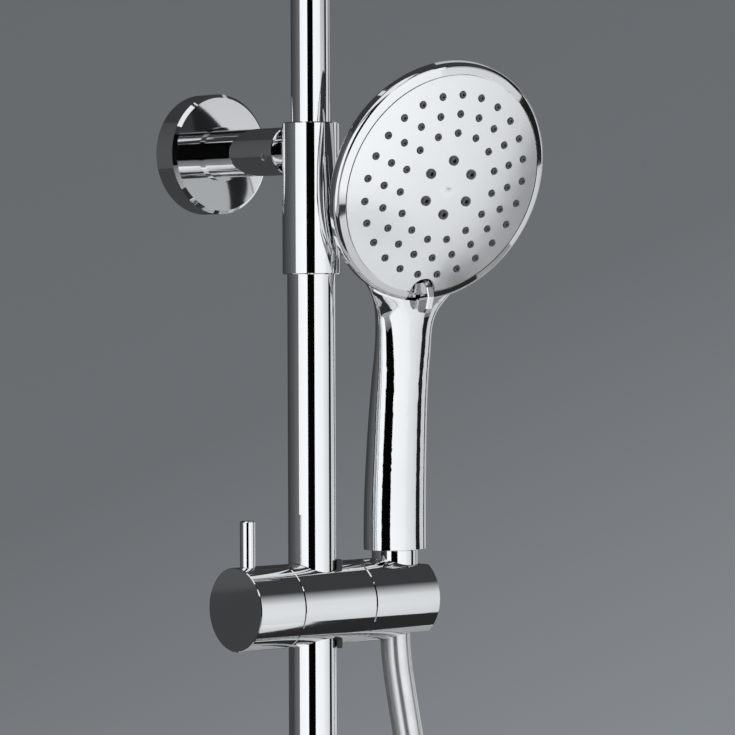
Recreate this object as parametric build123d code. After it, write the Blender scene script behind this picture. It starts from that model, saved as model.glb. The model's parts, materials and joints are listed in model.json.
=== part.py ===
from build123d import *
import math
import os

# Rainfall shower column. Millimetres, +Z up, wall face is the plane Y = 0, the room is on -Y.
# Origin: on the wall face, midway between the two water inlets.

os.makedirs("parts", exist_ok=True)

# ---------------------------------------------------------------- driving dimensions
inlet_pitch = 150.0          # centre distance of the two supply inlets
thread_r = 10.48             # G1/2 male thread
rail_y = -80.0               # riser axis in front of the wall
bracket_z = 849.4            # wall bracket axis above the inlets
slider_z = 640.0             # slider axis above the inlets

rail_r = 11.0                # lower riser tube
rail_bore = 9.9
upper_r = 9.0                # telescopic upper tube
upper_bore = 7.8
rail_foot_z = 38.0
rail_top_z = 828.0
upper_foot_z = 712.0
arm_top_z = 1260.0           # centreline of the overhead arm
arm_reach = 380.0            # riser axis to overhead outlet
arm_bend = 60.0
arm_end_z = 1192.0

collar_r = 13.1
collar_top = bracket_z + 12.6
collar_foot = bracket_z - 57.2
flange_r = 28.4
flange_depth = 14.0
bracket_arm_r = 11.1
bracket_arm_front = rail_y + 15.0

slide_r = 19.2               # slider cylinder radius
body_x0, body_x1 = -19.4, 23.1
knob_x0, knob_x1 = -45.5, -19.6
hold_x0, hold_x1 = 23.3, 62.4
bore_x = 50.6                # handset seat centre
bush_r = 12.8
bush_half = 12.6

handset_turn = -6.5          # handset turned in its seat
head_tilt = 19.3             # face leans forward and down
head_fwd = 44.8              # face apex in front of the seat axis
head_up = 191.7              # face apex above the slider axis
face_r = 52.6
rim_r = 57.6
face_sag = 4.87

bar_r = 22.0                 # mixer bar
bar_half = 100.0
hose_r = 7.0


# ---------------------------------------------------------------- helpers
def cyl_x(r, x0, x1, y=rail_y, z=0.0):
    return Pos((x0 + x1) / 2, y, z) * Rot(0, 90, 0) * Cylinder(r, abs(x1 - x0))


def cyl_y(r, y0, y1, x=0.0, z=0.0):
    return Pos(x, (y0 + y1) / 2, z) * Rot(90, 0, 0) * Cylinder(r, abs(y1 - y0))


def cyl_z(r, z0, z1, x=0.0, y=rail_y):
    return Pos(x, y, (z0 + z1) / 2) * Cylinder(r, abs(z1 - z0))


def ring_x(ro, ri, x0, x1, y=rail_y, z=0.0):
    return cyl_x(ro, x0, x1, y, z) - cyl_x(ri, x0 - 1, x1 + 1, y, z)


def ring_y(ro, ri, y0, y1, x=0.0, z=0.0):
    return cyl_y(ro, y0, y1, x, z) - cyl_y(ri, y0 - 1, y1 + 1, x, z)


def ring_z(ro, ri, z0, z1, x=0.0, y=rail_y):
    return cyl_z(ro, z0, z1, x, y) - cyl_z(ri, z0 - 1, z1 + 1, x, y)


def turned(points):
    """Solid of revolution about local Z from (radius, height) points."""
    with BuildPart() as made:
        with BuildSketch(Plane.XZ):
            with BuildLine():
                Polyline(*points, close=True)
            make_face()
        revolve(axis=Axis.Z)
    return made.part


def hex_z(flats, z0, z1, x=0.0, y=rail_y):
    body = Pos(x, y, z0) * extrude(RegularPolygon(flats / 2, 6, major_radius=False), z1 - z0)
    return body


def save(shape, name, copies=1):
    """One STEP per node; copies is how many identical pieces share it."""
    shapes = shape if isinstance(shape, list) else [shape]
    solids = [s for each in shapes for s in each.solids()]
    if len(solids) != copies:
        print("CHECK", name, "has", len(solids), "solids")
    one = solids[0] if len(solids) == 1 else Compound(children=solids)
    one.label = name
    export_step(one, "parts/" + name + ".step")


# ---------------------------------------------------------------- supply inlets
def inlet_union(side):
    x = side * inlet_pitch / 2
    body = cyl_y(thread_r, 0.4, 14.4, x) + cyl_y(9.4, -1.0, 0.6, x)
    body += cyl_y(12.0, -34.0, -1.0, x) + cyl_y(14.5, -38.0, -34.0, x)
    return body - cyl_y(7.0, -39.0, 15.0, x)


def escutcheon(side):
    shell = turned([(12.4, 0.5), (14.0, 0.5), (14.0, 11.5), (30.0, 2.0), (30.0, 0.5), (32.0, 0.5),
                    (32.0, 3.0), (29.5, 6.0), (15.0, 14.5), (12.4, 14.5)])
    return Pos(side * inlet_pitch / 2, 0, 0) * Rot(90, 0, 0) * shell


def union_nut(side):
    x = side * inlet_pitch / 2
    prism = Pos(x, -31.0, 0) * Rot(90, 0, 0) * extrude(RegularPolygon(18.0, 6, major_radius=False), 19.0)
    shape = prism & (cyl_y(20.2, -50.0, -31.0, x))
    shape -= cyl_y(12.2, -40.0, -30.0, x)
    return shape - cyl_y(15.05, -51.0, -34.0, x)


def check_valve(side):
    x = side * inlet_pitch / 2
    return cyl_y(7.9, -56.0, -42.0, x) - cyl_y(4.5, -57.0, -46.0, x)


sides = (-1, 1)
save([inlet_union(s) for s in sides], "inlet_unions", 2)
save([escutcheon(s) for s in sides], "wall_escutcheons", 2)
save([union_nut(s) for s in sides], "union_nuts", 2)
save([ring_y(13.5, 7.0, -40.0, -38.0, s * inlet_pitch / 2) for s in sides], "filter_washers", 2)
save([check_valve(s) for s in sides], "check_valves", 2)

# ---------------------------------------------------------------- mixer body
mixer = cyl_x(bar_r, -bar_half, bar_half)
for side in (-1, 1):
    mixer += cyl_y(15.0, -75.0, -40.0, side * inlet_pitch / 2)
    mixer += cyl_y(18.5, -75.0, -53.0, side * inlet_pitch / 2)
mixer += cyl_z(16.0, 5.0, 25.0)
mixer += cyl_z(13.2, 20.0, 36.0)
mixer += cyl_z(14.5, -25.0, -5.0)
mixer += cyl_z(10.4, -34.0, -20.0)
mixer -= cyl_x(17.0, -bar_half - 1, -48.0)
mixer -= cyl_x(17.0, 48.0, bar_half + 1)
mixer -= cyl_x(7.0, -50.0, 50.0)
mixer -= cyl_z(8.0, 0.0, 37.0)
mixer -= cyl_z(6.5, -35.0, 0.0)
for side in (-1, 1):
    mixer -= cyl_y(7.9, -75.0, -39.0, side * inlet_pitch / 2)
save(mixer, "mixer_body")

# thermostatic cartridge (left end) and on/off diverter cartridge (right end)
thermo = cyl_x(16.9, -96.0, -66.0) + cyl_x(12.0, -66.0, -50.0) + cyl_x(7.0, -112.0, -96.0)
thermo -= cyl_y(6.0, -80.0, -60.0, -75.0)
thermo -= cyl_x(5.0, -74.0, -49.0)
save(thermo, "thermostatic_cartridge")
divert = cyl_x(16.9, 66.0, 96.0) + cyl_x(12.0, 50.0, 66.0) + cyl_x(7.0, 96.0, 112.0)
divert -= cyl_y(6.0, -80.0, -60.0, 75.0)
divert -= cyl_x(5.0, 49.0, 74.0)
save(divert, "diverter_cartridge")
save([ring_x(17.0, 7.6, -99.0, -96.0), ring_x(17.0, 7.6, 96.0, 99.0)], "cartridge_nuts", 2)


# ---------------------------------------------------------------- mixer handles
def handle_core(x0, x1, outer):
    """Cup handle on the X axis, open towards the mixer bar."""
    lo, hi = min(x0, x1), max(x0, x1)
    cup = cyl_x(outer, lo, hi)
    cup = chamfer(cup.edges().filter_by(GeomType.CIRCLE), 1.2)
    return cup


temp = handle_core(-140.0, -100.5, 24.0)
for i in range(18):
    a = math.radians(20 * i)
    temp -= cyl_x(1.3, -136.0, -108.0, rail_y + 24.6 * math.cos(a), 24.6 * math.sin(a))
temp -= cyl_x(20.5, -113.0, -99.0)
temp -= cyl_x(7.06, -114.0, -100.0)
button_pocket = Pos(-124.0, rail_y - 21.5, 0) * Box(15.0, 19.0, 9.0)
temp -= button_pocket
temp -= cyl_x(14.0, -141.0, -138.0)
save(temp, "temperature_handle")
button = Pos(-124.0, rail_y - 21.2, 0) * Box(14.0, 9.6, 8.0)
button = fillet(button.edges().filter_by(Axis.Y), 1.5)
save(button, "temperature_stop_button")
save(cyl_x(13.95, -140.2, -138.0), "temperature_cap")

flow = handle_core(100.5, 140.0, 24.0)
for i in range(18):
    a = math.radians(20 * i)
    if i not in (13, 14):
        flow -= cyl_x(1.3, 108.0, 136.0, rail_y + 24.6 * math.cos(a), 24.6 * math.sin(a))
wing = Pos(124.0, rail_y, 0) * Rot(-40, 0, 0) * Pos(0, -28.0, 0) * Box(12.0, 28.0, 7.0)
wing = fillet(wing.edges().filter_by(Axis.X), 3.0)
flow += wing
flow -= cyl_x(20.5, 99.0, 113.0)
flow -= cyl_x(7.06, 100.0, 114.0)
flow -= cyl_x(14.0, 138.0, 141.0)
save(flow, "flow_handle")
save(cyl_x(13.95, 138.0, 140.2), "flow_cap")

# ---------------------------------------------------------------- riser foot
save(ring_z(12.6, 8.0, 36.0, rail_foot_z), "riser_washer")
save(ring_z(12.9, rail_r, rail_foot_z, 44.0), "riser_ferrule")
nut = hex_z(34.0, 26.0, 47.0) & cyl_z(18.8, 26.0, 47.0)
nut -= cyl_z(13.25, 25.0, 44.0)
nut -= cyl_z(11.15, 43.0, 48.0)
save(nut, "riser_nut")
save(ring_z(rail_r, rail_bore, rail_foot_z, rail_top_z), "lower_riser_tube")

# ---------------------------------------------------------------- telescopic upper riser
route = FilletPolyline((0, rail_y, upper_foot_z), (0, rail_y, arm_top_z),
                       (0, rail_y - arm_reach, arm_top_z), (0, rail_y - arm_reach, arm_end_z),
                       radius=arm_bend)
start = Plane(origin=(0, rail_y, upper_foot_z), z_dir=(0, 0, 1))
gooseneck = sweep(start * Circle(upper_r), path=route) - sweep(start * Circle(upper_bore), path=route)
save(gooseneck, "upper_riser_tube")

carrier = cyl_z(9.82, 690.0, 711.9) + cyl_z(7.72, 711.0, 724.0)
carrier -= cyl_z(5.8, 689.0, 725.0)
for z in (694.0, 703.0):
    carrier -= ring_z(11.0, 8.3, z, z + 3.0)
save(carrier, "riser_seal_carrier")
save([ring_z(9.84, 8.3, z + 0.1, z + 2.9) for z in (694.0, 703.0)], "riser_o_rings", 2)

# ---------------------------------------------------------------- collar and wall bracket
collar = cyl_z(collar_r, collar_foot, collar_top)
collar = chamfer(collar.edges().filter_by(GeomType.CIRCLE), 0.5)
collar += cyl_y(7.95, rail_y + 8.0, bracket_arm_front + 20.0, 0, bracket_z)
collar -= cyl_z(11.0, collar_foot - 1, collar_top - 4.0)
collar -= cyl_z(9.4, collar_top - 5.0, collar_top + 1)
save(collar, "riser_collar")
save(ring_z(11.0, 9.06, rail_top_z, collar_top - 4.0), "riser_gland_bush")

arm_back = -flange_depth
bracket_arm = cyl_y(bracket_arm_r, bracket_arm_front, arm_back, 0, bracket_z)
bracket_arm = chamfer(bracket_arm.edges().filter_by(GeomType.CIRCLE), 0.4)
bracket_arm += cyl_y(8.0, arm_back - 1, -4.0, 0, bracket_z)
bracket_arm -= cyl_y(7.95, bracket_arm_front - 1, bracket_arm_front + 22.0, 0, bracket_z)
grub_y = rail_y + 21.4
grub_axis = Pos(0, grub_y, bracket_z) * Rot(0, -15, 0)
bracket_arm -= grub_axis * Pos(-10.0, 0, 0) * Rot(0, 90, 0) * Cylinder(2.0, 5.0)
save(bracket_arm, "bracket_arm")
grub = grub_axis * Pos(-9.3, 0, 0) * Rot(0, 90, 0) * Cylinder(2.0, 2.6)
grub -= grub_axis * Pos(-10.2, 0, 0) * Rot(0, 90, 0) * extrude(RegularPolygon(1.1, 6), 1.2, both=True)
save(grub, "bracket_grub_screw")
save(ring_y(12.7, bracket_arm_r, arm_back - 2.0, arm_back, 0, bracket_z), "bracket_base_ring")

flange = cyl_y(flange_r, arm_back, -0.3, 0, bracket_z)
front_edge = flange.edges().filter_by(GeomType.CIRCLE).sort_by(Axis.Y)[0]
flange = chamfer(front_edge, 1.6)
flange -= cyl_y(flange_r - 2.0, arm_back + 2.0, 0.0, 0, bracket_z)
flange -= cyl_y(8.0, arm_back - 1, 0.0, 0, bracket_z)
save(flange, "bracket_flange")

plate = cyl_y(24.0, -4.0, 0.0, 0, bracket_z) + cyl_y(12.0, arm_back + 2.0, -3.0, 0, bracket_z)
plate -= cyl_y(8.0, arm_back, 1.0, 0, bracket_z)
for side in (-1, 1):
    plate -= cyl_y(2.75, -5.0, 1.0, side * 18.0, bracket_z)
save(plate, "bracket_wall_plate")

# ---------------------------------------------------------------- slider
bush = ring_z(bush_r, rail_r + 0.06, slider_z - bush_half, slider_z + bush_half)
bush -= Pos(0, rail_y + 12.5, slider_z) * Box(1.6, 6.0, 50.0)
save(bush, "slider_bush")

body = cyl_x(slide_r, body_x0, body_x1, rail_y, slider_z)
body = chamfer(body.edges().filter_by(GeomType.CIRCLE), 0.3)
body += cyl_x(9.0, body_x1 - 1, 31.0, rail_y, slider_z)
body -= cyl_z(rail_r + 0.7, slider_z - 25, slider_z + 25)
body -= cyl_z(bush_r + 0.08, slider_z - bush_half - 0.1, slider_z + bush_half + 0.1)
body -= cyl_x(5.1, -20.0, -10.0, rail_y, slider_z)
body -= ring_x(10.0, 7.6, 26.0, 28.4, rail_y, slider_z)
body -= cyl_x(3.0, 16.0, 32.0, rail_y, slider_z)
save(body, "slider_body")

knob = cyl_x(slide_r, knob_x0, knob_x1, rail_y, slider_z)
knob = chamfer(knob.edges().filter_by(GeomType.CIRCLE), 0.35)
knob -= cyl_x(4.0, -34.0, -19.0, rail_y, slider_z)
pin_x = -38.1
knob -= cyl_z(3.5, slider_z + 10.0, slider_z + 22.0, pin_x)
knob -= Pos(pin_x, rail_y, slider_z + 18.6) * Cone(3.5, 4.6, 1.4)
save(knob, "clamp_knob")
pin = cyl_z(3.5, slider_z + 10.0, slider_z + 40.1, pin_x)
pin = chamfer(pin.edges().filter_by(GeomType.CIRCLE).sort_by(Axis.Z)[-1], 0.5)
save(pin, "knob_lever_pin")
save(cyl_x(4.0, -34.0, -17.0, rail_y, slider_z), "clamp_screw")
save(cyl_x(4.9, -16.4, -14.1, rail_y, slider_z), "clamp_pad")

seat_top, seat_foot = 15.6, -15.6
liner_r = 10.8
holder = cyl_x(slide_r, hold_x0, hold_x1, rail_y, slider_z)
holder = chamfer(holder.edges().filter_by(GeomType.CIRCLE), 0.4)
for s in (-1, 1):
    cut = Pos(bore_x + 15.0, rail_y, slider_z + s * (seat_top + 10.0)) * Box(30.0, 60.0, 20.0)
    holder -= cut
holder -= cyl_z(liner_r, slider_z - 25, slider_z + 25, bore_x)
holder -= cyl_x(9.08, 22.0, 31.2, rail_y, slider_z)
holder -= cyl_x(4.1, 30.0, 34.0, rail_y, slider_z)
holder -= cyl_x(6.6, 33.2, 45.0, rail_y, slider_z)
save(holder, "handset_holder")
liner = cyl_z(liner_r, slider_z + seat_foot, slider_z + seat_top, bore_x)
liner -= Pos(bore_x, rail_y, slider_z) * Cone(9.3, 10.2, seat_top - seat_foot + 0.001)
save(liner, "holder_liner")
save(ring_x(9.04, 7.6, 26.0, 28.4, rail_y, slider_z), "tilt_friction_ring")
screw = cyl_x(3.0, 18.0, 31.0, rail_y, slider_z) + cyl_x(4.0, 31.0, 33.4, rail_y, slider_z)
screw += cyl_x(6.4, 33.3, 36.5, rail_y, slider_z)
screw -= Pos(35.6, rail_y, slider_z) * Rot(0, 90, 0) * extrude(RegularPolygon(2.9, 6), 1.0, both=True)
save(screw, "tilt_screw")

# ---------------------------------------------------------------- hand shower
# built with the seat axis on Z, the slider axis at Z = 0 and the spray side on -Y
seat = Pos(bore_x, rail_y, slider_z) * Rot(0, 0, handset_turn)
head = Pos(0, -head_fwd, head_up) * Rot(90 + head_tilt, 0, 0)     # local +Z is the spray direction

# handle and throat sections: forward of the seat axis, height, half width, front depth, back depth;
# the two lowest lie below the foot, where the loft is cut level, and keep it straight there
handle_foot = 23.0
handle_stations = [(0.2, -17.0, 15.9, 11.6, 11.6), (0.2, 3.0, 15.9, 11.6, 11.6),
                   (0.2, 23.0, 15.9, 11.6, 11.6), (0.4, 44.0, 15.8, 11.5, 11.5),
                   (1.5, 66.0, 15.4, 11.2, 11.2), (3.2, 88.0, 14.9, 10.6, 10.6),
                   (5.6, 107.0, 14.6, 9.6, 10.0), (7.5, 119.0, 14.8, 8.4, 9.0),
                   (8.9, 129.0, 15.3, 7.4, 9.5), (11.5, 137.0, 18.1, 6.2, 8.5),
                   (15.0, 146.0, 24.0, 3.0, 10.0), (20.0, 162.0, 30.0, 3.2, 9.0)]


def handle_section(fwd, up, half_width, front, back, shrink):
    """Half an ellipse towards the spray side and another towards the back."""
    with BuildSketch(Plane.XY.offset(up)) as made:
        with BuildLine():
            EllipticalCenterArc((0, -fwd), half_width - shrink, front - shrink, 180, arc_size=180)
            EllipticalCenterArc((0, -fwd), half_width - shrink, back - shrink, 0, arc_size=180)
        make_face()
    return made.sketch


def handle_loft(foot, shrink):
    """Handle and throat, cut level at the foot."""
    core = loft([handle_section(*station, shrink) for station in handle_stations])
    return core - Pos(0, 0, foot - 40.0) * Box(60.0, 60.0, 80.0)


with BuildPart() as back_shell:
    with BuildSketch(Plane.XZ):
        with BuildLine():
            Line((0, -12.0), (rim_r - 1.2, -12.0))
            Line((rim_r - 1.2, -12.0), (rim_r - 1.2, -12.6))
            Spline((rim_r - 1.2, -12.6), (50.0, -18.5), (32.0, -24.5), (0, -27.0),
                   tangents=((-0.35, -1.0), (-1, 0)))
            Line((0, -27.0), (0, -12.0))
        make_face()
    revolve(axis=Axis.Z)
with BuildPart() as back_hollow:
    with BuildSketch(Plane.XZ):
        with BuildLine():
            Line((0, -11.0), (rim_r - 4.2, -11.0))
            Line((rim_r - 4.2, -11.0), (rim_r - 4.2, -13.0))
            Spline((rim_r - 4.2, -13.0), (47.0, -17.0), (31.0, -22.0), (0, -24.4),
                   tangents=((-0.4, -1.0), (-1, 0)))
            Line((0, -24.4), (0, -11.0))
        make_face()
    revolve(axis=Axis.Z)

rim_space = head * Pos(0, 0, 38.0) * Cylinder(rim_r + 0.1, 100)    # clears the throat out of the rim
shell = handle_loft(handle_foot, 0.0) - rim_space
shell = shell + head * back_shell.part
cavity = handle_loft(handle_foot + 8.0, 2.4)
shell = shell - (cavity - rim_space) - head * back_hollow.part
shell -= Pos(0, 0, 27.0) * Cylinder(8.4, 12.0)
save(seat * shell, "handset_shell")

# rounded rim ring around the face, with a narrow groove between them and a ledge that carries the face
with BuildPart() as rim_ring:
    with BuildSketch(Plane.XZ):
        with BuildLine():
            Line((face_r + 0.2, -face_sag), (rim_r - 1.9, -face_sag - 0.9))
            ThreePointArc((rim_r - 1.9, -face_sag - 0.9), (rim_r - 0.5, -face_sag - 1.9), (rim_r, -face_sag - 3.6))
            Polyline((rim_r, -face_sag - 3.6), (rim_r, -10.8), (rim_r - 0.6, -12.0), (face_r - 2.0, -12.0),
                     (face_r - 2.0, -10.0), (face_r - 1.4, -10.0), (face_r - 1.4, -6.7),
                     (face_r + 0.2, -6.7), (face_r + 0.2, -face_sag))
        make_face()
    revolve(axis=Axis.Z)
bezel = rim_ring.part
lever_rest = 2.2                                                   # degrees off centre
notch = Pos(0, -57.0, -4.0) * Box(14.0, 16.0, 14.4)
bezel -= notch
save(seat * head * bezel, "handset_rim")

dome_r = (face_r ** 2 + face_sag ** 2) / (2 * face_sag)
ring_spec = ((25, 43.5, 90.0), (20, 34.7, 90.0), (15, 25.9, 90.0))


def dome_drop(r):
    return dome_r - math.sqrt(dome_r ** 2 - r ** 2)


def dome_sheet(outer, top, thick, inner=0.0):
    """Domed sheet of even height, its outer face lying top below the face dome."""
    half = (inner + outer) / 2
    upper = [(inner, -top - dome_drop(inner)), (half, -top - dome_drop(half)), (outer, -top - dome_drop(outer))]
    lower = [(r, z - thick) for r, z in upper]
    with BuildPart() as made:
        with BuildSketch(Plane.XZ):
            with BuildLine():
                ThreePointArc(*upper)
                Line(upper[2], lower[2])
                ThreePointArc(*lower)
                Line(lower[0], upper[0])
            make_face()
        revolve(axis=Axis.Z)
    return made.part


def ring_places(n, r, first):
    turns = [math.radians(first + 360.0 * i / n) for i in range(n)]
    return [(r * math.cos(t), r * math.sin(t)) for t in turns]


jet_places = ring_places(6, 13.0, 90.0)
rain_places = [(x, y, dome_drop(r)) for n, r, first in ring_spec for x, y in ring_places(n, r, first)]
arch = Pos(0, -52.5, -4.0) * Cylinder(7.0, 14.0) + Pos(0, -57.5, -4.0) * Box(14.0, 10.0, 14.0)
face = dome_sheet(face_r - 0.3, 0.0, 1.6)
face -= [Pos(x, y, -drop) * Cylinder(1.85, 8.0) for x, y, drop in rain_places]
face -= [Pos(x, y, -1.0) * Cylinder(2.4, 8.0) for x, y in jet_places]
face -= arch
save(seat * head * face, "spray_face_plate")

mat = dome_sheet(47.0, 1.6, 1.6, 20.0)
mat -= Pos(0, -55.0, -4.0) * Box(16.0, 18.0, 16.0)
mat += [Pos(x, y, -drop - 1.0) * Cone(1.8, 1.5, 3.4) for x, y, drop in rain_places]
mat -= [Pos(x, y, -drop) * Cylinder(0.55, 10.0) for x, y, drop in rain_places]
save(seat * head * mat, "rain_nozzle_mat")
jets = dome_sheet(19.9, 1.6, 1.6)
jets += [Pos(x, y, -1.7) * Cylinder(2.25, 4.6) for x, y in jet_places]
jets -= [Pos(x, y, -1.0) * Cylinder(1.0, 12.0) for x, y in jet_places]
save(seat * head * jets, "massage_jet_insert")

# selector: lever, disc and seal behind the nozzle mat
lever_spot = head * Rot(0, 0, lever_rest)
fin = Polyline((-46.6, -9.6), (-46.6, -6.4), (-49.0, -1.8), (-53.0, 0.6), (-59.0, 0.4), (-61.6, -1.0),
               (-62.4, -3.4), (-62.0, -6.0), (-57.2, -6.2), (-56.8, -9.6), (-46.6, -9.6))    # side view
lever = extrude(Plane.YZ * make_face(fin), 1.75, both=True)
lever = chamfer(lever.edges().filter_by(Plane.YZ).filter_by(lambda e: e.center().Z > -4.5), 0.45)
lever += Pos(0, -48.4, -10.4) * Box(3.2, 3.6, 1.6)
save(seat * lever_spot * lever, "mode_lever")
disc = Pos(0, 0, -14.0) * Cylinder(48.4, 2.4) - Pos(0, 0, -14.0) * Cylinder(6.0, 5.0)
disc += Pos(0, -46.8, -12.0) * Box(4.0, 3.2, 1.6)
for x, y in ring_places(8, 26.0, 22.5):
    disc -= Pos(x, y, -14.0) * Cylinder(4.0, 5.0)
save(seat * lever_spot * disc, "mode_disc")
divider = Pos(0, 0, -10.4) * Cylinder(45.0, 1.6)
for x, y in ring_places(6, 22.6, 0.0) + ring_places(10, 38.0, 0.0):
    divider -= Pos(x, y, -10.4) * Cylinder(2.0, 5.0)
save(seat * head * divider, "flow_divider")

# handle inlet: threaded insert
insert = Pos(0, 0, 30.0) * Cylinder(8.4, 18.0) - Pos(0, 0, 30.0) * Cylinder(5.6, 20.0)
save(seat * insert, "handset_inlet_thread")

# ---------------------------------------------------------------- hose
nut_top, nut_foot = 22.9, -12.0
cone_nut = Pos(0, 0, 19.35) * Cylinder(10.8, 7.1)
cone_nut = chamfer(cone_nut.edges().filter_by(GeomType.CIRCLE).sort_by(Axis.Z)[-1], 0.4)
cone_nut += Pos(0, 0, 2.0) * Cone(9.33, 10.14, 28.0)
cone_nut -= Pos(0, 0, 17.5) * Cylinder(8.4, 11.2)
cone_nut -= Pos(0, 0, 0.0) * Cylinder(4.8, 30.0)
save(seat * cone_nut, "hose_cone_nut")
save(seat * (Pos(0, 0, 20.4) * Cylinder(8.3, 1.2) - Pos(0, 0, 20.4) * Cylinder(4.8, 3.0)), "handset_washer")

hose_points = [(bore_x, rail_y, slider_z + nut_foot), (bore_x, rail_y, 615.0), (52.6, -83.2, 590.0),
               (57.0, -90.3, 541.0), (68.5, -106.0, 455.0), (96.0, -131.0, 330.0),
               (130.0, -150.0, 185.0), (154.0, -158.0, 25.0), (160.0, -152.0, -150.0),
               (158.0, -150.0, -315.0), (112.0, -130.0, -365.0), (46.0, -101.0, -366.0),
               (2.0, -83.0, -313.0), (0.0, rail_y, -165.0), (0.0, rail_y, -66.0)]


def bend_radii(points):
    radii = []
    for a, b, c in zip(points, points[1:], points[2:]):
        u, v = Vector(*b) - Vector(*a), Vector(*c) - Vector(*b)
        half = math.radians(u.get_angle(v)) / 2
        radii.append(0.45 * min(u.length, v.length) / math.tan(half))
    return radii


radii = bend_radii(hose_points)
print("hose bend radii, smallest", round(min(radii), 1), [round(r) for r in radii])
hose_path = FilletPolyline(*hose_points, radius=radii)
print("hose length", round(hose_path.length, 1))
hose_start = Plane(origin=hose_points[0], z_dir=(0, 0, -1))
hose = sweep(hose_start * Circle(hose_r), path=hose_path)
print("hose volume", round(hose.volume), "section x length",
      round(math.pi * hose_r ** 2 * hose_path.length))
save(hose, "shower_hose")

lower_nut = cyl_z(12.2, -60.0, -30.0, 0.0)
lower_nut = chamfer(lower_nut.edges().filter_by(GeomType.CIRCLE), 0.8)
for i in range(24):
    a = math.radians(15 * i)
    lower_nut -= cyl_z(0.6, -56.0, -36.0, 12.4 * math.cos(a), rail_y + 12.4 * math.sin(a))
lower_nut -= cyl_z(10.45, -36.0, -29.0)
lower_nut -= cyl_z(9.0, -50.0, -29.0)
lower_nut -= cyl_z(5.0, -61.0, -29.0)
save(lower_nut, "hose_lower_nut")
ferrule = cyl_z(8.2, -66.0, -60.0) - cyl_z(5.0, -67.0, -59.0)
save(ferrule, "hose_lower_ferrule")
save(ring_z(8.9, 5.0, -36.0, -34.0), "hose_lower_washer")

# ---------------------------------------------------------------- overhead rain head
oy = rail_y - arm_reach
ball_z = arm_end_z - 24.0
plate_z = ball_z - 36.0
fitting = ring_z(11.0, upper_r, arm_end_z, arm_end_z + 7.0, 0, oy)
fitting += ring_z(11.0, 6.0, arm_end_z - 10.0, arm_end_z, 0, oy)
save(fitting, "overhead_outlet_fitting")
ball_nut = cyl_z(15.0, ball_z - 7.0, arm_end_z + 3.0, 0, oy)
ball_nut = chamfer(ball_nut.edges().filter_by(GeomType.CIRCLE), 1.0)
ball_nut -= cyl_z(11.0, arm_end_z - 10.0, arm_end_z + 4.0, 0, oy)
ball_nut -= Pos(0, oy, ball_z) * Sphere(10.28)
ball_nut -= cyl_z(10.65, ball_z, arm_end_z - 9.0, 0, oy)
save(ball_nut, "overhead_ball_nut")
seat_ring = ring_z(10.58, 6.0, ball_z + 7.0, arm_end_z - 10.1, 0, oy)
seat_ring -= Pos(0, oy, ball_z) * Sphere(10.28)
save(seat_ring, "overhead_ball_seal")
ball = Pos(0, oy, ball_z) * Sphere(10.2) + cyl_z(5.5, plate_z + 6.0, ball_z, 0, oy)
ball -= cyl_z(3.5, plate_z, ball_z + 12.0, 0, oy)
save(ball, "overhead_swivel_ball")
cover = cyl_z(100.0, plate_z, plate_z + 4.0, 0, oy)
cover = chamfer(cover.edges().filter_by(GeomType.CIRCLE).sort_by(Axis.Z)[-1], 1.5)
cover += Pos(0, oy, plate_z + 9.0) * Cone(26.0, 13.0, 10.0)
cover -= cyl_z(94.0, plate_z - 1.0, plate_z + 2.4, 0, oy)
cover -= cyl_z(5.5, plate_z + 6.0, plate_z + 16.0, 0, oy)
cover -= cyl_z(4.0, plate_z, plate_z + 7.0, 0, oy)
save(cover, "rain_head_cover")
rain_rings = ((6, 13.0), (12, 28.0), (18, 43.0), (24, 58.0), (30, 73.0))
rose_places = [(x, y + oy) for n, r in rain_rings for x, y in ring_places(n, r, 0.0)]
rose = cyl_z(100.0, plate_z - 2.4, plate_z, 0, oy)
rose -= [cyl_z(1.7, plate_z - 4.0, plate_z + 1.0, x, y) for x, y in rose_places]
save(rose, "rain_head_face")
rain_mat = cyl_z(84.0, plate_z, plate_z + 1.2, 0, oy)
rain_mat += [Pos(x, y, plate_z - 1.9) * Cone(1.2, 1.65, 3.8) for x, y in rose_places]
rain_mat -= [cyl_z(0.5, plate_z - 5.0, plate_z + 2.0, x, y) for x, y in rose_places]
save(rain_mat, "rain_head_nozzle_mat")
print("done")
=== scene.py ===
import json
import math

import bpy
from mathutils import Matrix, Vector


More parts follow.
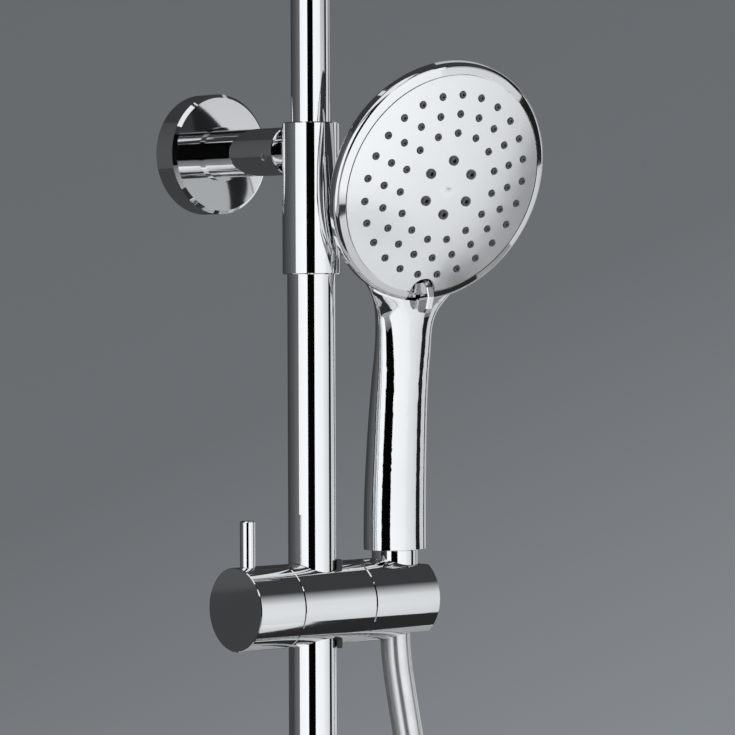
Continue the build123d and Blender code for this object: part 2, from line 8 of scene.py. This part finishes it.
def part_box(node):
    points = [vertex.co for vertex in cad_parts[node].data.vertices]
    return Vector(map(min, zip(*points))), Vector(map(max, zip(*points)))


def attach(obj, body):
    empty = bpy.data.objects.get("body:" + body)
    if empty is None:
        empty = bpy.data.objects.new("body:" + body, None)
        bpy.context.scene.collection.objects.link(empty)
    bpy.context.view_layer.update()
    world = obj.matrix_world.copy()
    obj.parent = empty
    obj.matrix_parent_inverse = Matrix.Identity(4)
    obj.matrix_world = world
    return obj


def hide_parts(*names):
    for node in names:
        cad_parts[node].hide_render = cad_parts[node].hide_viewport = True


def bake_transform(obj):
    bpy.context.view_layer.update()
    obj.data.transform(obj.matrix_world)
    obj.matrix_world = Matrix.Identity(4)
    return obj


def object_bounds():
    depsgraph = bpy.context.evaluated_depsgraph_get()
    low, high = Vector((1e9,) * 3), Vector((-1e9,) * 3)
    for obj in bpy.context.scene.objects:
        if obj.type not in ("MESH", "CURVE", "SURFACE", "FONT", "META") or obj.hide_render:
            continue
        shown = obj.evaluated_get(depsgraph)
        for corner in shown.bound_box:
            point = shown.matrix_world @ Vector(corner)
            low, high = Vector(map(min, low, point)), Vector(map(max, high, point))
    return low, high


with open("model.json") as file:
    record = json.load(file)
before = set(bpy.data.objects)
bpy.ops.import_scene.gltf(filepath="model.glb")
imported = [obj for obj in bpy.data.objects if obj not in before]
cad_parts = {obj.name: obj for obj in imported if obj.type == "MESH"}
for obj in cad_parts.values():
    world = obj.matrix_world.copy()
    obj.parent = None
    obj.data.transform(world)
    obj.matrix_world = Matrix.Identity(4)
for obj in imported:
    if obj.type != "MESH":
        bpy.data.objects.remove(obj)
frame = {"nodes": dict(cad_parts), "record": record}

cad_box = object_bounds()
nodes = frame["nodes"]


def centre(node):
    """Middle of a node's box."""
    lo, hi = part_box(node)
    return (Vector(lo) + Vector(hi)) / 2


rail = centre("lower_riser_tube")
slide = centre("clamp_knob")

# ---------------------------------------------------------------- camera
VIEW_TURN = math.radians(40.7)        # camera stands to the left of the wall's normal
VIEW_TILT = math.radians(-1.39)
VIEW_ROLL = math.radians(-0.19)
VIEW_DISTANCE = 1.624
AIM_OFFSET = Vector((0.0184, -0.0183, 0.1092))   # from the riser, level with the slider
LENS = 172.7
SENSOR_WIDTH = 36.0
VIEW_REACH = 50.0                     # how far the camera sees

aim = Vector((rail.x, rail.y, slide.z)) + AIM_OFFSET
forward = Vector((math.sin(VIEW_TURN) * math.cos(VIEW_TILT),
                  math.cos(VIEW_TURN) * math.cos(VIEW_TILT), math.sin(VIEW_TILT)))
right = Vector((math.cos(VIEW_TURN), -math.sin(VIEW_TURN), 0.0))
up = right.cross(forward)
right, up = (right * math.cos(VIEW_ROLL) + up * math.sin(VIEW_ROLL),
             up * math.cos(VIEW_ROLL) - right * math.sin(VIEW_ROLL))
camera_data = bpy.data.cameras.new("camera")
camera_data.lens = LENS
camera_data.sensor_width = SENSOR_WIDTH
camera_data.clip_end = VIEW_REACH
camera = bpy.data.objects.new("camera", camera_data)
turn = Matrix((right, up, -forward)).transposed().to_4x4()
camera.matrix_world = Matrix.Translation(aim - forward * VIEW_DISTANCE) @ turn
bpy.context.collection.objects.link(camera)
bpy.context.scene.camera = camera

# ---------------------------------------------------------------- hose
HOSE_POINTS = [(0.0506, -0.080, 0.628), (0.0506, -0.080, 0.615), (0.0526, -0.0832, 0.590),
               (0.057, -0.0903, 0.541), (0.0685, -0.106, 0.455), (0.096, -0.131, 0.330),
               (0.130, -0.150, 0.185), (0.154, -0.158, 0.025), (0.160, -0.152, -0.150),
               (0.158, -0.150, -0.315), (0.112, -0.130, -0.365), (0.046, -0.101, -0.366),
               (0.002, -0.083, -0.313), (0.0, -0.080, -0.165), (0.0, -0.080, -0.066)]
HOSE_DIAMETER = 0.014
HOSE_SIDES = 40
HOSE_STEPS = 14                       # points of the smooth line per point of the list


def hose_line():
    """Points along the hose's own smooth line."""
    data = bpy.data.curves.new("hose_line", "CURVE")
    data.dimensions = "3D"
    data.resolution_u = HOSE_STEPS
    spline = data.splines.new("NURBS")
    spline.points.add(len(HOSE_POINTS) - 1)
    for point, place in zip(spline.points, HOSE_POINTS):
        point.co = (*place, 1.0)
    spline.order_u = 3
    spline.use_endpoint_u = True
    line = bpy.data.objects.new("hose_line", data)
    bpy.context.collection.objects.link(line)
    bpy.context.view_layer.update()
    mesh = bpy.data.meshes.new_from_object(line.evaluated_get(bpy.context.evaluated_depsgraph_get()))
    path = [v.co.copy() for v in mesh.vertices]
    bpy.data.objects.remove(line)
    bpy.data.meshes.remove(mesh)
    return path


def tube_mesh(name, path, radius, sides):
    """Round closed tube along a path, with rings that don't twist."""
    verts = []
    faces = []
    side = Vector((1, 0, 0))
    for i, place in enumerate(path):
        ahead = (path[min(i + 1, len(path) - 1)] - path[max(i - 1, 0)]).normalized()
        side = (side - ahead * side.dot(ahead)).normalized()
        other = ahead.cross(side)
        for k in range(sides):
            a = 2 * math.pi * k / sides
            verts.append(place + (side * math.cos(a) + other * math.sin(a)) * radius)
    for i in range(len(path) - 1):
        for k in range(sides):
            a, b = i * sides + k, i * sides + (k + 1) % sides
            faces.append((a, b, b + sides, a + sides))
    faces.append(tuple(reversed(range(sides))))
    faces.append(tuple(len(verts) - sides + k for k in range(sides)))
    mesh = bpy.data.meshes.new(name)
    mesh.from_pydata(verts, [], faces)
    for polygon in mesh.polygons:
        polygon.use_smooth = len(polygon.vertices) == 4
    made = bpy.data.objects.new(name, mesh)
    bpy.context.collection.objects.link(made)
    return made


hose_path = hose_line()
hose = tube_mesh("hose", hose_path, HOSE_DIAMETER / 2, HOSE_SIDES)
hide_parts("shower_hose")
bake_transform(hose)


# ---------------------------------------------------------------- lips of the slider's plastic bush
LIP_INNER, LIP_OUTER = 0.0117, 0.0141
LIP_LOW, LIP_HIGH = 0.0150, 0.0202
LIP_TURN = (-54, 60)                  # only round the side away from the lever pin
LIP_STEPS = 28


def bush_lip(name, low, high):
    """Part of a ring round the riser, standing out of the slider."""
    verts = []
    faces = []
    first, last = LIP_TURN
    for i in range(LIP_STEPS + 1):
        a = math.radians(first + (last - first) * i / LIP_STEPS)
        for radius, z in ((LIP_INNER, low), (LIP_OUTER, low), (LIP_OUTER, high), (LIP_INNER, high)):
            verts.append((rail.x + radius * math.cos(a), rail.y + radius * math.sin(a), slide.z + z))
    for i in range(LIP_STEPS):
        for k in range(4):
            a, b = 4 * i + k, 4 * i + (k + 1) % 4
            faces.append((a, b, b + 4, a + 4))
    faces.append((3, 2, 1, 0))
    faces.append(tuple(4 * LIP_STEPS + k for k in range(4)))
    mesh = bpy.data.meshes.new(name)
    mesh.from_pydata(verts, [], faces)
    made = bpy.data.objects.new(name, mesh)
    bpy.context.collection.objects.link(made)
    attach(made, "slider")
    return made


lips = [bush_lip("upper_bush_lip", LIP_LOW, LIP_HIGH), bush_lip("lower_bush_lip", -LIP_HIGH, -LIP_LOW)]


# ---------------------------------------------------------------- materials
NOISE_DETAIL = 4.0
LOW_MARK, HIGH_MARK = 0.3, 0.7        # where on the noise the two shades of a material lie
COOL_CHROME = (0.985, 0.995, 1.0)
SILVER_GREY = (1, 1, 1.04)


def new_material(name):
    """Material with its node tree and its main shader."""
    made = bpy.data.materials.new(name)
    made.use_nodes = True
    tree = made.node_tree
    return made, tree, tree.nodes["Principled BSDF"]


def object_noise(tree, scale, stretch=(1, 1, 1)):
    """Noise in the piece's own space."""
    coords = tree.nodes.new("ShaderNodeTexCoord")
    mapping = tree.nodes.new("ShaderNodeMapping")
    mapping.inputs["Scale"].default_value = stretch
    noise = tree.nodes.new("ShaderNodeTexNoise")
    noise.inputs["Scale"].default_value = scale
    noise.inputs["Detail"].default_value = NOISE_DETAIL
    tree.links.new(coords.outputs["Object"], mapping.inputs["Vector"])
    tree.links.new(mapping.outputs["Vector"], noise.inputs["Vector"])
    return noise


def ramp_to(tree, source, socket, low, high):
    """Colour between two shades, driven by a noise."""
    ramp = tree.nodes.new("ShaderNodeValToRGB")
    for mark, place, shade in zip(ramp.color_ramp.elements, (LOW_MARK, HIGH_MARK), (low, high)):
        mark.position = place
        mark.color = shade
    tree.links.new(source, ramp.inputs["Fac"])
    tree.links.new(ramp.outputs["Color"], socket)


def range_to(tree, source, socket, low, high):
    """Number between low and high, driven by a noise."""
    remap = tree.nodes.new("ShaderNodeMapRange")
    remap.inputs["To Min"].default_value = low
    remap.inputs["To Max"].default_value = high
    tree.links.new(source, remap.inputs["Value"])
    tree.links.new(remap.outputs["Result"], socket)


def bump_from(tree, shader, source, strength, distance):
    """Fine relief on a shader, driven by a noise."""
    bump = tree.nodes.new("ShaderNodeBump")
    bump.inputs["Strength"].default_value = strength
    bump.inputs["Distance"].default_value = distance
    tree.links.new(source, bump.inputs["Height"])
    tree.links.new(bump.outputs["Normal"], shader.inputs["Normal"])


def grey(value, tint=(1, 1, 1)):
    """Colour of one brightness, with a slight tint."""
    return (value * tint[0], value * tint[1], value * tint[2], 1.0)


def chrome(name, level=0.86, rough=(0.025, 0.06), film_scale=22.0):
    """Mirror-like plating with a faint film on it."""
    made, tree, shader = new_material(name)
    shader.inputs["Metallic"].default_value = 1.0
    film = object_noise(tree, film_scale)
    ramp_to(tree, film.outputs["Fac"], shader.inputs["Base Color"],
            grey(level * 0.97, COOL_CHROME), grey(level, COOL_CHROME))
    range_to(tree, film.outputs["Fac"], shader.inputs["Roughness"], *rough)
    return made


def plastic(name, low, high, rough=(0.35, 0.5), grain=900.0, bump=0.15):
    """Finely grained plastic, rubber or paint."""
    made, tree, shader = new_material(name)
    speck = object_noise(tree, grain)
    ramp_to(tree, speck.outputs["Fac"], shader.inputs["Base Color"], low, high)
    range_to(tree, speck.outputs["Fac"], shader.inputs["Roughness"], *rough)
    bump_from(tree, shader, speck.outputs["Fac"], bump, 0.0002)
    return made


def metal(name, low, high, rough, stretch, scale=400.0, bump=0.1, metallic=1.0):
    """Bare metal with fine tool marks."""
    made, tree, shader = new_material(name)
    shader.inputs["Metallic"].default_value = metallic
    lines = object_noise(tree, scale, stretch)
    ramp_to(tree, lines.outputs["Fac"], shader.inputs["Base Color"], low, high)
    range_to(tree, lines.outputs["Fac"], shader.inputs["Roughness"], *rough)
    bump_from(tree, shader, lines.outputs["Fac"], bump, 0.0001)
    return made


MATERIALS = {
    "chrome": chrome("chrome"),
    "chrome_plastic": chrome("plated_plastic", 0.84, (0.03, 0.07)),
    "satin_face": chrome("satin_plate", 0.90, (0.20, 0.23)),
    "brass": metal("brass", grey(0.7, (1, 0.78, 0.42)), grey(0.8, (1, 0.8, 0.45)), (0.2, 0.35), (1, 1, 1)),
    "steel": metal("steel", grey(0.5), grey(0.62), (0.22, 0.38), (1, 8, 1)),
    "rubber": plastic("rubber", grey(0.015), grey(0.035), (0.6, 0.8)),
    "silicone": plastic("silicone", grey(0.13, SILVER_GREY), grey(0.20, SILVER_GREY), (0.22, 0.34), 1500.0),
    "plastic_white": plastic("white_plastic", grey(0.72), grey(0.8), (0.35, 0.5)),
    "plastic_grey": plastic("grey_plastic", grey(0.05), grey(0.075), (0.35, 0.5)),
    "plastic_red": plastic("red_plastic", (0.35, 0.01, 0.008, 1), (0.45, 0.015, 0.01, 1), (0.2, 0.3)),
    "hose_pvc": metal("silver_hose", grey(0.80), grey(0.86), (0.24, 0.28), (1, 1, 1), 120.0, 0.02, 0.8),
}
for part in frame["record"]["subparts"]:
    piece = nodes[part["node"]]
    if not piece.material_slots:
        piece.data.materials.append(None)
    for each in piece.material_slots:
        each.material = MATERIALS[part["material_slot"]]
hose.data.materials.append(MATERIALS["hose_pvc"])
for lip in lips:
    lip.data.materials.append(MATERIALS["plastic_grey"])


# ---------------------------------------------------------------- stage
COOL_LIGHT = (0.99, 1.0, 1.012)
FLOOR_Z = cad_box[0][2] - 0.02
FLOOR_HALF = 4.4
ROOM_HALF = 3.6
ROOM_TOP = 3.4
LIFT = 0.01                                       # keeps cards off the floor
BEHIND_Y = 0.017                                  # small card right behind the column
BEHIND_X = (0.16, 0.60)
WALL_LIGHT = ((-3.6, 0.10), (-3.1, 0.095), (-1.5, 0.075), (0.0, 0.050), (1.5, 0.042), (3.6, 0.036))

# light cards and dark flags: from and to, in degrees to the right of the camera, as seen from the riser
LEFT_BOX = (-63.0, -16.6)
RIGHT_BOX = (16.5, 62.0)
SIDE_BOX = (62.0, 93.0)
EDGE_BOX = (109.0, 130.0)
FAR_BOX = (139.0, 176.0)
BACK_FLAG = (182.0, 262.0)
FACE_SKIRT = (38.0, 88.0, 38.0, 116.0)            # top from and to, then foot from and to
DARK_SKIRT = (88.0, 118.0, 116.0, 140.0)
FRONT_SKIRT = (-60.0, 38.0, -60.0, 38.0)
OVER_BOX = (-75.0, 18.0, 30.0, -120.0)            # its lower corners, then its upper corners
CARD_DISTANCE, FAR_DISTANCE = 1.3, 2.4
SKIRT_TOP, SKIRT_FOOT = 1.3, 0.68                 # how far out the low slanted cards stand
OVER_LOW, OVER_HIGH = (1.5, 1.15), (0.45, 1.75)   # how far out, and how high above the slider
CARD_FOOT, CARD_TOP = slide.z - 0.80, slide.z + 1.0
EVEN = ((0.0, 1.0), (1.0, 1.0))
SOFT_ENDS = ((0.0, 0.6), (0.08, 1.0), (0.9, 1.0), (1.0, 0.5))

OVER_LAMP, OVER_LAMP_AIM = (0.3, -0.8, 3.0), (0, -0.3, FLOOR_Z)
BACK_LAMP, BACK_LAMP_AIM = (-1.5, 2.2, 2.2), (0, -0.1, slide.z - 0.3)

BACKDROP = ((0.0, (0.133, 0.143, 0.153)), (0.5, (0.145, 0.156, 0.167)), (1.0, (0.235, 0.252, 0.268)))
BACKDROP_SLANT = 0.45                             # how much it brightens to the right against downwards
BACKDROP_REACH = 0.145


def shade_ramp(tree, source, stops):
    """Grey ramp through (place, brightness) stops."""
    ramp = tree.nodes.new("ShaderNodeValToRGB")
    marks = ramp.color_ramp.elements
    while len(marks) < len(stops):
        marks.new(0.5)
    for mark, (place, value) in zip(marks, stops):
        mark.position = place
        mark.color = grey(value, COOL_LIGHT)
    tree.links.new(source, ramp.inputs["Fac"])
    return ramp.outputs["Color"]


def glow(name, across, upward=EVEN, gain=1.0):
    """Emission that varies across a card and up it, each from 0 to 1."""
    made = bpy.data.materials.new(name)
    made.use_nodes = True
    tree = made.node_tree
    tree.nodes.clear()
    out = tree.nodes.new("ShaderNodeOutputMaterial")
    light = tree.nodes.new("ShaderNodeEmission")
    place = tree.nodes.new("ShaderNodeTexCoord")
    split = tree.nodes.new("ShaderNodeSeparateXYZ")
    both = tree.nodes.new("ShaderNodeMix")
    both.data_type = "RGBA"
    both.blend_type = "MULTIPLY"
    both.inputs["Factor"].default_value = 1.0
    tree.links.new(place.outputs["Generated"], split.inputs[0])
    tree.links.new(shade_ramp(tree, split.outputs["X"], across), both.inputs["A"])
    tree.links.new(shade_ramp(tree, split.outputs["Z"], upward), both.inputs["B"])
    tree.links.new(both.outputs["Result"], light.inputs["Color"])
    light.inputs["Strength"].default_value = gain
    tree.links.new(light.outputs[0], out.inputs["Surface"])
    return made


def only_mirrored(made):
    """Seen in the chrome's reflections, but neither by the camera nor by the floor."""
    made.visible_camera = False
    made.visible_diffuse = False
    made.visible_shadow = False


def card(name, left, right_end, low, high, material):
    """Upright card between two points of the floor plan, seen from both sides."""
    left, right_end = Vector(left), Vector(right_end)
    run = right_end - left
    width, height = run.length, high - low
    mesh = bpy.data.meshes.new(name)
    mesh.from_pydata([(0, 0, 0), (width, 0, 0), (width, 0, height), (0, 0, height)], [], [(0, 1, 2, 3)])
    made = bpy.data.objects.new(name, mesh)
    made.location = (left.x, left.y, low)
    made.rotation_euler = (0, 0, math.atan2(run.y, run.x))
    bpy.context.collection.objects.link(made)
    made.data.materials.append(material)
    only_mirrored(made)
    return made


def around(azimuth, distance, z=0.0):
    """Place at this angle to the right of the camera, as seen from the riser."""
    to_camera = -Vector((forward.x, forward.y, 0)).normalized()
    to_right = Vector((right.x, right.y, 0)).normalized()
    a = math.radians(azimuth)
    place = Vector((rail.x, rail.y, 0)) + (to_camera * math.cos(a) + to_right * math.sin(a)) * distance
    place.z = z
    return place


def plate(name, corners, material):
    """Flat sheet through these corners."""
    mesh = bpy.data.meshes.new(name)
    mesh.from_pydata([tuple(c) for c in corners], [], [tuple(range(len(corners)))])
    made = bpy.data.objects.new(name, mesh)
    bpy.context.collection.objects.link(made)
    made.data.materials.append(material)
    return made


def square(half, z):
    """Corners of a level square round the origin."""
    return [(-half, -half, z), (half, -half, z), (half, half, z), (-half, half, z)]


def build_floor():
    paint = plastic("floor_paint", grey(0.62), grey(0.66), (0.6, 0.8), 60.0, 0.02)
    plate("floor", square(FLOOR_HALF, FLOOR_Z), paint)


def build_room():
    """Dark studio round the object, greyer behind it and to its left."""
    h = ROOM_HALF
    low = FLOOR_Z + LIFT
    black = glow("front_glow", ((0.0, 0.001), (0.6, 0.001), (1.0, 0.02)))
    card("room_front", (-h, -h, 0), (h, -h, 0), low, ROOM_TOP, black)
    left = glow("left_room_glow", ((0.0, 0.10), (0.4, 0.17), (0.48, 0.18), (0.54, 0.18), (0.62, 0.08),
                                   (0.7, 0.004), (1.0, 0.001)))
    card("room_left", (-h, h, 0), (-h, -h, 0), low, ROOM_TOP, left)
    dim = glow("right_room_glow", ((0.0, 0.01), (1.0, 0.03)))
    card("room_right", (h, -h, 0), (h, h, 0), low, ROOM_TOP, dim)
    shades = [((x + h) / (2 * h), value) for x, value in WALL_LIGHT]
    card("room_back", (-h, h, 0), (h, h, 0), low, ROOM_TOP, glow("back_glow", shades))
    ceiling = glow("ceiling_glow", ((0.0, 0.04), (1.0, 0.05)))
    only_mirrored(plate("room_top", square(h, ROOM_TOP), ceiling))


def upright_box(name, angles, low, high, material, distance=CARD_DISTANCE):
    """Upright card between two angles round the riser."""
    first, last = angles
    card(name, around(first, distance), around(last, distance), low, high, material)


def skirt(name, angles, material):
    """Card that slants inwards from an upright card's foot down to the floor."""
    top_from, top_to, foot_from, foot_to = angles
    foot_z = FLOOR_Z + 2 * LIFT
    made = plate(name, [around(top_from, SKIRT_TOP, CARD_FOOT), around(top_to, SKIRT_TOP, CARD_FOOT),
                        around(foot_to, SKIRT_FOOT, foot_z), around(foot_from, SKIRT_FOOT, foot_z)], material)
    only_mirrored(made)


def build_softboxes():
    """Light cards and dark flags that give the chrome its bands."""
    upright_box("box_left", LEFT_BOX, FLOOR_Z + 0.1, CARD_TOP,
                glow("left_glow", ((0, 0.92), (1, 1.0)), SOFT_ENDS, 1.15))
    upright_box("box_right", RIGHT_BOX, CARD_FOOT, CARD_TOP,
                glow("right_glow", ((0, 1.0), (0.7, 0.95), (1, 0.90)), SOFT_ENDS, 1.12))
    side_high = ((0.0, 0.95), (0.35, 1.0), (0.62, 0.94), (0.95, 0.12), (1.0, 0.05))
    upright_box("box_side", SIDE_BOX, CARD_FOOT, slide.z + 0.80,
                glow("side_box_glow", ((0, 0.98), (0.6, 0.86), (1, 0.76)), side_high))
    upright_box("box_edge", EDGE_BOX, slide.z - 0.5, slide.z + 0.5, glow("edge_glow", EVEN, EVEN, 0.7))
    skirt("skirt_face", FACE_SKIRT, glow("skirt_glow", EVEN, ((0.0, 0.50), (1.0, 0.95)), 0.95))
    skirt("skirt_dark", DARK_SKIRT, glow("flag_glow", ((0.0, 0.025), (1.0, 0.025))))
    skirt("skirt_front", FRONT_SKIRT, glow("front_flag_glow", ((0.0, 0.03), (1.0, 0.03))))
    upright_box("flag_back", BACK_FLAG, FLOOR_Z + 2 * LIFT, slide.z - 0.10,
                glow("back_flag_glow", ((0.0, 0.055), (1.0, 0.055))))
    card("box_behind", (BEHIND_X[0], BEHIND_Y, 0), (BEHIND_X[1], BEHIND_Y, 0), slide.z - 0.05,
         slide.z + 0.5, glow("behind_glow", EVEN, EVEN, 0.55))
    upright_box("box_back", FAR_BOX, slide.z - 1.2, slide.z + 0.35,
                glow("box_back_glow", ((0.0, 0.7), (1.0, 1.0)), SOFT_ENDS, 1.0), FAR_DISTANCE)
    over = [around(angle, distance, slide.z + rise)
            for angle, (distance, rise) in zip(OVER_BOX, (OVER_LOW, OVER_LOW, OVER_HIGH, OVER_HIGH))]
    only_mirrored(plate("box_over", over, glow("over_glow", EVEN, EVEN, 0.95)))


def soft_light(name, place, aim_at, size, power):
    """Wide lamp for the floor, hose and plastics, left out of the chrome's reflections."""
    data = bpy.data.lights.new(name, "AREA")
    data.size = size
    data.energy = power
    lamp = bpy.data.objects.new(name, data)
    lamp.location = place
    lamp.rotation_euler = (Vector(aim_at) - Vector(place)).to_track_quat("-Z", "Y").to_euler()
    lamp.visible_camera = False
    lamp.visible_glossy = False
    bpy.context.collection.objects.link(lamp)


def build_world():
    """Grey surround that brightens towards the lower right of the view."""
    world = bpy.data.worlds.new("world")
    bpy.context.scene.world = world
    world.use_nodes = True
    tree = world.node_tree
    place = tree.nodes.new("ShaderNodeTexCoord")
    dot = tree.nodes.new("ShaderNodeVectorMath")
    dot.operation = "DOT_PRODUCT"
    dot.inputs[1].default_value = right * BACKDROP_SLANT - up
    spread = tree.nodes.new("ShaderNodeMapRange")
    spread.inputs["From Min"].default_value = -BACKDROP_REACH
    spread.inputs["From Max"].default_value = BACKDROP_REACH
    ramp = tree.nodes.new("ShaderNodeValToRGB")
    marks = ramp.color_ramp.elements
    marks.new(0.5)
    for mark, (where, colour) in zip(marks, BACKDROP):
        mark.position = where
        mark.color = (*colour, 1.0)
    tree.links.new(place.outputs["Generated"], dot.inputs[0])
    tree.links.new(dot.outputs["Value"], spread.inputs["Value"])
    tree.links.new(spread.outputs["Result"], ramp.inputs["Fac"])
    tree.links.new(ramp.outputs["Color"], tree.nodes["Background"].inputs["Color"])


build_floor()
build_room()
build_softboxes()
soft_light("lamp_over", OVER_LAMP, OVER_LAMP_AIM, size=3.0, power=60.0)
soft_light("lamp_behind", BACK_LAMP, BACK_LAMP_AIM, size=2.0, power=30.0)
build_world()
bpy.context.scene.view_settings.view_transform = "Standard"
